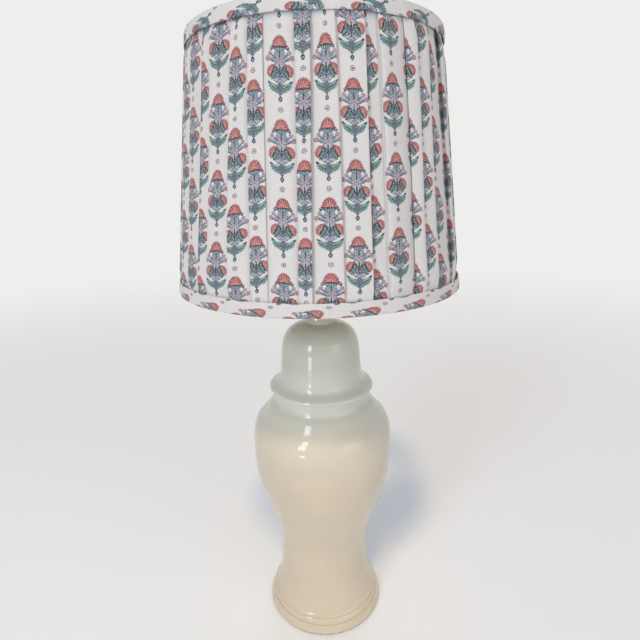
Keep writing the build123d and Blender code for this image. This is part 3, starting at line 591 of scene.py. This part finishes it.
def outline_group(name, build):
    """Node group that turns a place on the cloth into ink (0 to 1) for one carved outline.

    The place is moved, turned and scaled so that the outline lies in a unit square round the
    origin, with its tip along +Y. build(tree, place, x, y) returns a number that is 1 on the
    outline's edge and less inside it.
    """
    tree = bpy.data.node_groups.new(name, "ShaderNodeTree")
    inputs = (("Place", "Vector"), ("At", "Vector"), ("Turn", "Vector"), ("Size", "Vector"))
    for label, kind in inputs:
        tree.interface.new_socket(label, in_out="INPUT", socket_type=f"NodeSocket{kind}")
    tree.interface.new_socket("Ink", in_out="OUTPUT", socket_type="NodeSocketFloat")
    given = tree.nodes.new("NodeGroupInput").outputs
    place = add(tree, "Mapping", {"vector_type": "TEXTURE"}, {
        "Vector": given["Place"], "Location": given["At"], "Rotation": given["Turn"],
        "Scale": given["Size"]})
    split = add(tree, "SeparateXYZ", inputs={0: place})
    reach = build(tree, place, split.outputs["X"], split.outputs["Y"])
    inside = add(tree, "Math", {"operation": "SUBTRACT"}, {0: 1.0, 1: reach})
    ink = add(tree, "Math", {"operation": "MULTIPLY_ADD", "use_clamp": True},
              {0: inside, 1: ink_edge, 2: 0.5})
    result = tree.nodes.new("NodeGroupOutput")
    tree.links.new(live(ink.outputs, 0), result.inputs["Ink"])
    return tree


print(f"an outline's ink runs from full to none over 1/{ink_edge:.0f} of its size")

# %% Discs and leaves
def round_spot(tree, place, x, y):
    """Distance from the middle: a disc or an ellipse."""
    return add(tree, "VectorMath", {"operation": "LENGTH"}, {0: place}).outputs["Value"]


def leaf(tree, place, x, y):
    """|x| plus y squared: two arcs that meet in a point above and below."""
    width = add(tree, "Math", {"operation": "ABSOLUTE"}, {0: x})
    return add(tree, "Math", {"operation": "MULTIPLY_ADD"}, {0: y, 1: y, 2: width})


def toothed_leaf(tree, place, x, y):
    """A leaf whose width is cut by a row of teeth along its length."""
    plain = leaf(tree, place, x, y)
    teeth = add(tree, "Math", {"operation": "PINGPONG"}, {0: y, 1: 0.14})
    return add(tree, "Math", {"operation": "MULTIPLY_ADD"}, {0: teeth, 1: 2.6, 2: plain})


# %% Petals
half_petal = math.pi / 18  # nine petals fill a half circle


def petal_turn(tree, x, y):
    """Angle from the middle of the nearest petal: 0 there and half_petal in the gap beside it."""
    angle = add(tree, "Math", {"operation": "ARCTAN2"}, {0: x, 1: y})
    return add(tree, "Math", {"operation": "PINGPONG"}, {0: angle, 1: half_petal})


def petal_fan(tree, place, x, y):
    """A half disc, flat below, whose round edge rises and falls once for each of nine petals."""
    distance = round_spot(tree, place, x, y)
    edge = add(tree, "Math", {"operation": "MULTIPLY_ADD"},
               {0: petal_turn(tree, x, y), 1: 1.1, 2: distance})
    below = add(tree, "Math", {"operation": "MULTIPLY_ADD"}, {0: y, 1: -4.0, 2: 0.7})
    return add(tree, "Math", {"operation": "MAXIMUM"}, {0: edge, 1: below})


def petal_gaps(tree, place, x, y):
    """The thin gaps between the nine petals, from halfway out to the edge, and none below."""
    distance = round_spot(tree, place, x, y)
    inward = add(tree, "Math", {"operation": "SUBTRACT"},
                 {0: half_petal, 1: petal_turn(tree, x, y)})
    line = add(tree, "Math", {"operation": "MULTIPLY"}, {0: inward, 1: 22.0})
    line = add(tree, "Math", {"operation": "MULTIPLY"}, {0: line, 1: distance})
    middle = add(tree, "Math", {"operation": "MULTIPLY_ADD"}, {0: distance, 1: -2.6, 2: 2.1})
    below = add(tree, "Math", {"operation": "MULTIPLY_ADD"}, {0: y, 1: -4.0, 2: 1.2})
    outer = add(tree, "Math", {"operation": "MAXIMUM"}, {0: middle, 1: distance})
    outer = add(tree, "Math", {"operation": "MAXIMUM"}, {0: outer, 1: below})
    return add(tree, "Math", {"operation": "MAXIMUM"}, {0: line, 1: outer})


print("petals in a half circle:", round(math.pi / 2 / half_petal))

# %% Scrollwork, and the set of outlines
def scrollwork(tree, place, x, y):
    """The clear lines between the small leaves of a disc: near the edges of its cells."""
    cells = add(tree, "TexVoronoi", {"feature": "DISTANCE_TO_EDGE", "voronoi_dimensions": "2D"},
                {"Vector": place, "Scale": 5.2})
    line = add(tree, "Math", {"operation": "MULTIPLY"}, {0: cells, 1: 13.0})
    distance = round_spot(tree, place, x, y)
    return add(tree, "Math", {"operation": "MAXIMUM"}, {0: line, 1: distance})


outlines = {build.__name__: outline_group(build.__name__, build)
            for build in (round_spot, leaf, toothed_leaf, petal_fan, petal_gaps, scrollwork)}
print("carved outlines:", sorted(outlines))

# %% [markdown]
# Next comes the block itself: a list of stamps in the order in which they are printed, with the
# dark rim of a form before its colour. Each has an outline, a colour, a place in millimetres from
# the middle of the sprig, a half width and half length, and a turn clockwise in degrees. A stamp
# beside the middle line also prints its mirror image, because the place that it reads has its x
# folded over.

# %% The block
coral, dark_red, blush = "#b5464c", "#783b47", "#cb9689"
slate, dark_slate, pale_slate = "#5b6b82", "#333f4b", "#8b98ab"
teal, dark_teal, pale_teal = "#5a8a87", "#3b626a", "#93b6ae"
mauve, pale_mauve = "#80606f", "#c2b0b6"
cloth_white = "#d8d7d8"
block = [
    # stem and bud
    ("leaf", dark_slate, (0, -20.2), (0.7, 3.4), 0),
    ("leaf", slate, (0, -20.4), (1.5, 1.3), 0),
    ("leaf", dark_slate, (0, -23.9), (1.7, 2.3), 0),
    ("round_spot", pale_slate, (0, -24.1), (0.6, 0.9), 0),
    # pointed leaves
    ("toothed_leaf", dark_teal, (5.0, -14.9), (3.9, 6.6), 55),
    ("toothed_leaf", teal, (5.0, -14.7), (3.2, 5.9), 55),
    ("toothed_leaf", dark_teal, (2.2, -16.8), (3.2, 4.2), 26),
    ("toothed_leaf", teal, (2.3, -16.6), (2.6, 3.5), 26),
    ("leaf", pale_teal, (5.2, -14.2), (0.4, 4.2), 57),
    ("leaf", dark_slate, (4.2, -15.7), (0.45, 4.0), 57),
    ("leaf", dark_slate, (9.2, -11.6), (0.8, 1.6), 57),
    ("leaf", dark_slate, (0, -15.6), (2.6, 4.4), 0),
    ("scrollwork", pale_slate, (0, -15.6), (2.6, 4.4), 0),
    # the body of small leaves, up to the crown
    ("round_spot", dark_slate, (0, -5.4), (7.8, 7.2), 0),
    ("round_spot", slate, (0, -5.2), (7.4, 6.9), 0),
    ("round_spot", slate, (0, 4.6), (5.5, 7.6), 0),
    ("leaf", mauve, (0, 3.4), (1.6, 5.0), 0),
    ("scrollwork", cloth_white, (0, -5.2), (7.7, 7.1), 0),
    ("scrollwork", cloth_white, (0, 4.6), (5.5, 7.6), 14),
    ("leaf", dark_slate, (4.9, -6.2), (1.7, 4.8), -34),
    ("leaf", teal, (5.1, -6.1), (0.9, 3.8), -34),
    ("leaf", slate, (2.3, -8.2), (0.9, 3.2), -26),
    ("leaf", cloth_white, (3.2, -9.9), (0.35, 2.0), -50),
    ("leaf", dark_slate, (1.9, -3.0), (0.6, 3.6), 16),
    ("leaf", dark_slate, (3.4, -1.2), (0.5, 2.6), 34),
    ("leaf", dark_slate, (0, -4.0), (0.8, 6.4), 0),
    ("leaf", dark_slate, (0, 7.6), (0.6, 3.4), 0),
    ("round_spot", pale_mauve, (0, 3.6), (1.3, 1.25), 0),
    ("round_spot", mauve, (0, 3.6), (0.8, 0.75), 0),
    ("leaf", cloth_white, (4.6, 2.2), (0.6, 2.4), -50),
    ("leaf", cloth_white, (5.8, -11.6), (0.95, 4.1), 62),
    # curved stems and their rosettes
    ("leaf", slate, (6.0, 3.6), (0.8, 4.6), 68),
    ("leaf", slate, (5.2, 6.6), (0.7, 4.0), 54),
    ("leaf", slate, (6.4, 11.6), (0.8, 1.9), 118),
    ("leaf", dark_slate, (7.2, 12.0), (0.6, 1.4), 28),
    ("round_spot", mauve, (7.9, 8.8), (1.7, 1.6), 0),
    ("round_spot", pale_mauve, (7.9, 8.8), (1.1, 1.05), 0),
    ("round_spot", mauve, (7.9, 8.8), (0.6, 0.55), 0),
    ("round_spot", mauve, (10.2, 5.4), (2.0, 1.9), 0),
    ("round_spot", pale_mauve, (10.2, 5.4), (1.35, 1.25), 0),
    ("round_spot", dark_red, (10.2, 5.4), (0.7, 0.65), 0),
    ("round_spot", slate, (6.9, 5.2), (1.2, 1.1), 0),
    ("round_spot", cloth_white, (6.9, 5.2), (0.5, 0.45), 0),
    # flowers at the sides
    ("petal_fan", dark_red, (6.5, -3.9), (5.2, 4.7), 60),
    ("petal_fan", coral, (6.6, -3.8), (4.8, 4.3), 60),
    ("petal_gaps", dark_red, (6.6, -3.8), (4.8, 4.3), 60),
    ("petal_gaps", blush, (6.6, -3.8), (4.0, 3.5), 70),
    ("leaf", blush, (7.1, -3.5), (0.45, 3.4), -30),
    ("leaf", dark_slate, (6.1, -4.2), (0.9, 5.4), -30),
    # cup and crown
    ("round_spot", dark_teal, (0, 12.2), (5.0, 2.3), 0),
    ("round_spot", slate, (0, 11.5), (4.0, 1.7), 0),
    ("leaf", pale_teal, (1.0, 11.4), (0.3, 1.4), 10),
    ("leaf", pale_teal, (2.6, 11.6), (0.3, 1.2), 24),
    ("leaf", dark_slate, (5.0, 13.2), (0.9, 2.4), 80),
    ("petal_fan", dark_red, (0, 13.2), (6.5, 8.4), 0),
    ("petal_fan", coral, (0, 13.3), (6.0, 7.8), 0),
    ("petal_gaps", dark_red, (0, 13.3), (6.0, 7.8), 0),
    ("petal_gaps", blush, (0, 13.3), (4.7, 6.2), 10),
    ("round_spot", blush, (0, 14.4), (2.8, 1.3), 0),
    ("leaf", coral, (0, 14.6), (0.5, 1.2), 0),
    ("leaf", coral, (1.4, 14.3), (0.4, 1.0), 30),
    ("round_spot", dark_slate, (0, 13.1), (5.4, 0.75), 0),
    # rosette between two sprigs
    ("round_spot", mauve, (0, -31.5), (2.1, 2.0), 0),
    ("round_spot", cloth_white, (0, -31.5), (1.4, 1.35), 0),
    ("round_spot", dark_red, (0, -31.5), (0.8, 0.75), 0),
]
print("stamps in the block:", len(block))

# %% [markdown]
# The cloth's place comes from the UV map, in millimetres. It is shaken a little, as a block never
# lands twice in quite the same way and ink creeps along the threads. Columns are counted by
# rounding, every second one is dropped by half a repeat, and the height wraps at the repeat, in
# the gap between two sprigs. Pingpong folds each column about its middle line, which gives the
# mirror image.

# %% Place on the block
cut_above = repeat / 2 - 5.6  # mm from a sprig's middle up to where its block ends
creep_reach = 1.1  # mm between the furthest places that the creep shifts the ink to


def plain_material(name, settings):
    """A new material: its tree and its Principled shader, with these inputs set."""
    made = bpy.data.materials.new(name)
    made.use_nodes = True
    shader = made.node_tree.nodes["Principled BSDF"]
    join(made.node_tree, shader, settings)
    return made, made.node_tree, shader


cotton, tree, shader = plain_material("block_printed_cotton", {
    "Roughness": 0.82, "IOR": 1.47, "Specular IOR Level": 0.25, "Sheen Weight": 0.12,
    "Sheen Roughness": 0.5})
cloth_place = add(tree, "UVMap", {"uv_map": "cloth"})
creep = add(tree, "TexNoise", {"noise_dimensions": "2D"},
            {"Vector": cloth_place, "Scale": 0.55, "Detail": 3.0})
shake = add(tree, "VectorMath", {"operation": "MULTIPLY_ADD"},
            {0: creep.outputs["Color"], 1: (creep_reach, creep_reach, 0), 2: cloth_place})
shake = add(tree, "VectorMath", {"operation": "SUBTRACT"},
            {0: shake, 1: (creep_reach / 2, creep_reach / 2, 0)})
split = add(tree, "SeparateXYZ", inputs={0: shake})
column = add(tree, "Math", {"operation": "DIVIDE"}, {0: split.outputs["X"], 1: column_step})
column = add(tree, "Math", {"operation": "ROUND"}, {0: column})
mirrored = add(tree, "Math", {"operation": "PINGPONG"},
               {0: split.outputs["X"], 1: column_step / 2})
dropped = add(tree, "Math", {"operation": "FLOORED_MODULO"}, {0: column, 1: 2.0})
lowered = add(tree, "Math", {"operation": "MULTIPLY_ADD"},
              {0: dropped, 1: repeat / 2, 2: split.outputs["Y"]})
wrapped = add(tree, "Math", {"operation": "WRAP"},
              {0: lowered, 1: cut_above, 2: cut_above - repeat})
place = add(tree, "CombineXYZ", inputs={"X": mirrored, "Y": wrapped})
print(f"a block is {column_step:.1f} by {repeat:.1f} mm")

# %% [markdown]
# The block is stamped on the white cloth, one outline over the other, and the ink is left a
# little thin in places. The weave is far finer than the picture can show, so its threads are
# drawn about twice as coarse as they are. Slubs, the thicker stretches of a yarn, run both ways
# through the cloth and shade it softly.

# %% Stamps, ink and weave
thread = 0.7  # mm from thread to thread, about twice the real spacing
colour = add(tree, "RGB")
colour.outputs[0].default_value = srgb(cloth_white)
for outline, ink, at, size, turn in block:
    stamp = tree.nodes.new("ShaderNodeGroup")
    stamp.node_tree = outlines[outline]
    join(tree, stamp, {"Place": place, "At": (*at, 0), "Turn": (0, 0, -math.radians(turn)),
                       "Size": (*size, 1)})
    colour = add(tree, "Mix", {"data_type": "RGBA"},
                 {"Factor": stamp, "A": colour, "B": srgb(ink)})

thin = add(tree, "TexNoise", {"noise_dimensions": "2D"},
           {"Vector": cloth_place, "Scale": 0.9, "Detail": 5.0})
thin = add(tree, "MapRange", inputs={
    "Value": thin, "From Min": 0.45, "From Max": 0.75, "To Min": 0.0, "To Max": 0.34})
colour = add(tree, "Mix", {"data_type": "RGBA"},
             {"Factor": thin, "A": colour, "B": srgb(cloth_white)})
slubs = []
for stretch in ((0.9, 0.035, 1), (0.03, 1.1, 1)):  # a millimetre wide, 30 mm long
    stretched = add(tree, "Mapping", inputs={"Vector": cloth_place, "Scale": stretch})
    slubs.append(add(tree, "TexNoise", {"noise_dimensions": "2D"},
                     {"Vector": stretched, "Detail": 3.0}))
slub = add(tree, "Math", {"operation": "ADD"}, {0: slubs[0], 1: slubs[1]})
shading = add(tree, "MapRange", inputs={
    "Value": slub, "From Min": 0.75, "From Max": 1.25, "To Min": 0.9, "To Max": 1.03})
colour = add(tree, "VectorMath", {"operation": "SCALE"}, {0: colour, "Scale": shading})
waves = []
for axis in ("X", "Y"):  # at scale 1 a wave comes back every pi / 10
    waves.append(add(tree, "TexWave", {"bands_direction": axis},
                     {"Vector": cloth_place, "Scale": math.pi / 10 / thread, "Distortion": 0.6}))
weave = add(tree, "Math", {"operation": "MULTIPLY"}, {0: waves[0], 1: waves[1]})
weave = add(tree, "Math", {"operation": "MULTIPLY_ADD"}, {0: slub, 1: 0.8, 2: weave})
threads = add(tree, "Bump", inputs={"Strength": 0.5, "Distance": 0.12 * mm, "Height": weave})
join(tree, shader, {"Base Color": colour, "Normal": threads})
for piece in (cover, low_band, high_band):
    piece.data.materials.append(cotton)
print("nodes in the printed cotton:", len(tree.nodes))

# %% [markdown]
# ## Glaze
# The jar and its lid were thrown, dipped in a warm white glaze and fired. The glaze is glass, so
# it is glossy and its surface is nearly flat, with a slow waviness left by the turning and a fine
# orange peel. Its colour is warm below and greyer above, and greyest on the lid: that is painted
# shade, for the lampshade's shadow on the shoulder and the lid. It also has soft clouds, and here
# and there a pinhole shows the body.

# %% Colour of the glaze
# painted shade: the glaze greys upwards between these heights, and darkens again on the lid
grey_shade_start, grey_shade_stop = 0.23, 0.36  # heights in metres between which the warm tone turns grey
lid_shade_start, lid_shade_stop = 0.345, 0.375  # and between which the jar's tone turns into the lid's
warm_glaze, grey_painted_shade, lid_painted_shade = "#d2c6b0", "#d5d7ca", "#c8cabb"
pinhole_body = "#8d8373"

glaze, tree, shader = plain_material("glazed_stoneware", {"Roughness": 0.09, "IOR": 1.52})
where = add(tree, "TexCoord").outputs["Object"]
height = add(tree, "SeparateXYZ", inputs={0: where}).outputs["Z"]
cloud = add(tree, "TexNoise",  # clouds of about 45 mm
            inputs={"Vector": where, "Scale": 22.0, "Detail": 4.0})
wavy = add(tree, "Math", {"operation": "MULTIPLY_ADD"}, {0: cloud, 1: 0.05, 2: height})
# painted shade over the shoulder, where the lampshade's shadow falls
painted_shade_above = add(tree, "MapRange", {"interpolation_type": "SMOOTHSTEP"},
          {"Value": wavy, "From Min": grey_shade_start, "From Max": grey_shade_stop})
tone = add(tree, "Mix", {"data_type": "RGBA"},
           {"Factor": painted_shade_above, "A": srgb(warm_glaze), "B": srgb(grey_painted_shade)})
# painted shade on the lid, darker still under the lampshade
lid_shade_mask = add(tree, "MapRange", {"interpolation_type": "SMOOTHSTEP"},
          {"Value": wavy, "From Min": lid_shade_start, "From Max": lid_shade_stop})
tone = add(tree, "Mix", {"data_type": "RGBA"}, {"Factor": lid_shade_mask, "A": tone, "B": srgb(lid_painted_shade)})
mottle = add(tree, "MapRange", inputs={
    "Value": cloud, "From Min": 0.3, "From Max": 0.7, "To Min": 0.965, "To Max": 1.02})
tone = add(tree, "VectorMath", {"operation": "SCALE"}, {0: tone, "Scale": mottle})
pits = add(tree, "TexVoronoi", inputs={"Vector": where, "Scale": 62.0})  # 16 mm apart
pinhole = add(tree, "MapRange", inputs={
    "Value": pits, "From Min": 0.012, "From Max": 0.035, "To Min": 0.55, "To Max": 0.0})
tone = add(tree, "Mix", {"data_type": "RGBA"},
           {"Factor": pinhole, "A": tone, "B": srgb(pinhole_body)})
print(f"glaze: warm below {grey_shade_start} m, grey above {grey_shade_stop} m")

# %% Relief of the glaze
# rings from the turning about 10 mm apart, and an orange peel of about 4 mm
rings = add(tree, "TexNoise", {"noise_dimensions": "1D"},
            {"W": height, "Scale": 95.0, "Detail": 2.0})
peel = add(tree, "TexNoise", inputs={"Vector": where, "Scale": 260.0, "Detail": 2.0})
relief = add(tree, "Math", {"operation": "MULTIPLY_ADD"}, {0: peel, 1: 0.08, 2: rings})
relief = add(tree, "Math", {"operation": "MULTIPLY_ADD"}, {0: cloud, 1: 1.5, 2: relief})
skin = add(tree, "Bump", inputs={"Strength": 0.35, "Distance": 0.25 * mm, "Height": relief})
join(tree, shader, {"Base Color": tone, "Normal": skin})
print("nodes in the glaze:", len(tree.nodes))

# %% [markdown]
# ## Metal, rubber, paper and plastic
# The other finishes differ in colour, in how rough they are and in how fine their grain is, so
# one table holds those numbers. Each gets a noise in the object's own coordinates: it shifts the
# colour a little, makes the gloss uneven, as handling and plating do, and raises the surface by a
# few hundredths of a millimetre. Polished brass is lacquered, so its gloss is even; zinc plate is
# cloudy; pressed paper and felt are rough and fibrous; the styrene and the enamel are smooth with
# a soft gloss. Moulded pieces take the skin of their mould, dull on rubber and bright on
# phenolic. The bulb's cap is drawn from aluminium and has a satin sheen, and its glass is coated
# white inside, so it is smooth and milky.

# %% The table of finishes
finish_table = {
    # slot: name, light colour, dark colour, metallic, roughness and its spread, grain per metre,
    # relief in millimetres
    "steel": ("zinc_plated_steel", "#c3c6c8", "#9a9ea2", 1.0, 0.30, 0.12, 90.0, 0.02),
    "brass": ("lacquered_brass", "#dfc78f", "#bd9f61", 1.0, 0.16, 0.08, 60.0, 0.01),
    "rubber": ("moulded_rubber", "#26262a", "#17171a", 0.0, 0.58, 0.10, 300.0, 0.05),
    "paper_sleeve": ("insulating_paper", "#5b5044", "#3f372e", 0.0, 0.85, 0.08, 500.0, 0.06),
    "phenolic": ("phenolic_moulding", "#241f1c", "#120f0e", 0.0, 0.28, 0.10, 140.0, 0.02),
    "bulb_metal": ("drawn_aluminium", "#d5d6d6", "#aeb0b1", 1.0, 0.34, 0.10, 120.0, 0.02),
    "bulb_glass": ("soft_white_glass", "#efece4", "#e2ded3", 0.0, 0.14, 0.04, 30.0, 0.01),
    "frame_paint": ("enamelled_wire", "#e6e4de", "#d2cfc6", 0.0, 0.33, 0.08, 130.0, 0.04),
    "styrene": ("styrene_sheet", "#e9e6df", "#dcd8cf", 0.0, 0.42, 0.06, 25.0, 0.02),
    "felt": ("wool_felt", "#36523f", "#1d2f24", 0.0, 0.97, 0.02, 700.0, 0.30),
    "print_cloth": ("plain_cotton", cloth_white, "#c9c6c2", 0.0, 0.85, 0.05, 400.0, 0.05),
}
finishes = {"glaze": glaze}
for name, (label, light, dark, metallic, rough, spread, grain, relief) in finish_table.items():
    made, tree, shader = plain_material(label, {"Metallic": metallic})
    where = add(tree, "TexCoord").outputs["Object"]
    coarse = add(tree, "TexNoise", inputs={"Vector": where, "Scale": grain / 4, "Detail": 5.0})
    fine = add(tree, "TexNoise", inputs={"Vector": where, "Scale": grain * 4, "Detail": 3.0})
    tone = add(tree, "Mix", {"data_type": "RGBA"},
               {"Factor": coarse, "A": srgb(light), "B": srgb(dark)})
    gloss = add(tree, "MapRange", inputs={
        "Value": coarse, "From Min": 0.3, "From Max": 0.7, "To Min": rough - spread / 2,
        "To Max": min(1.0, rough + spread)})
    bump = add(tree, "Bump", inputs={"Strength": 0.6, "Distance": relief * mm, "Height": fine})
    join(tree, shader, {"Base Color": tone, "Roughness": gloss, "Normal": bump})
    finishes[name] = made
print("finishes:", ", ".join(made.name for made in finishes.values()))

# %% [markdown]
# The record that comes with the frame says which material each piece is made of, so the finishes
# are given out by that, and a piece that is added to the frame later gets its finish as well. The
# felt disc is new in this file, so it gets its wool here.

# %% Finishes for the pieces
for part in frame["record"]["subparts"]:
    faces = nodes[part["node"]].data
    faces.materials.clear()
    faces.materials.append(finishes[part["material_slot"]])
felt.data.materials.append(finishes["felt"])
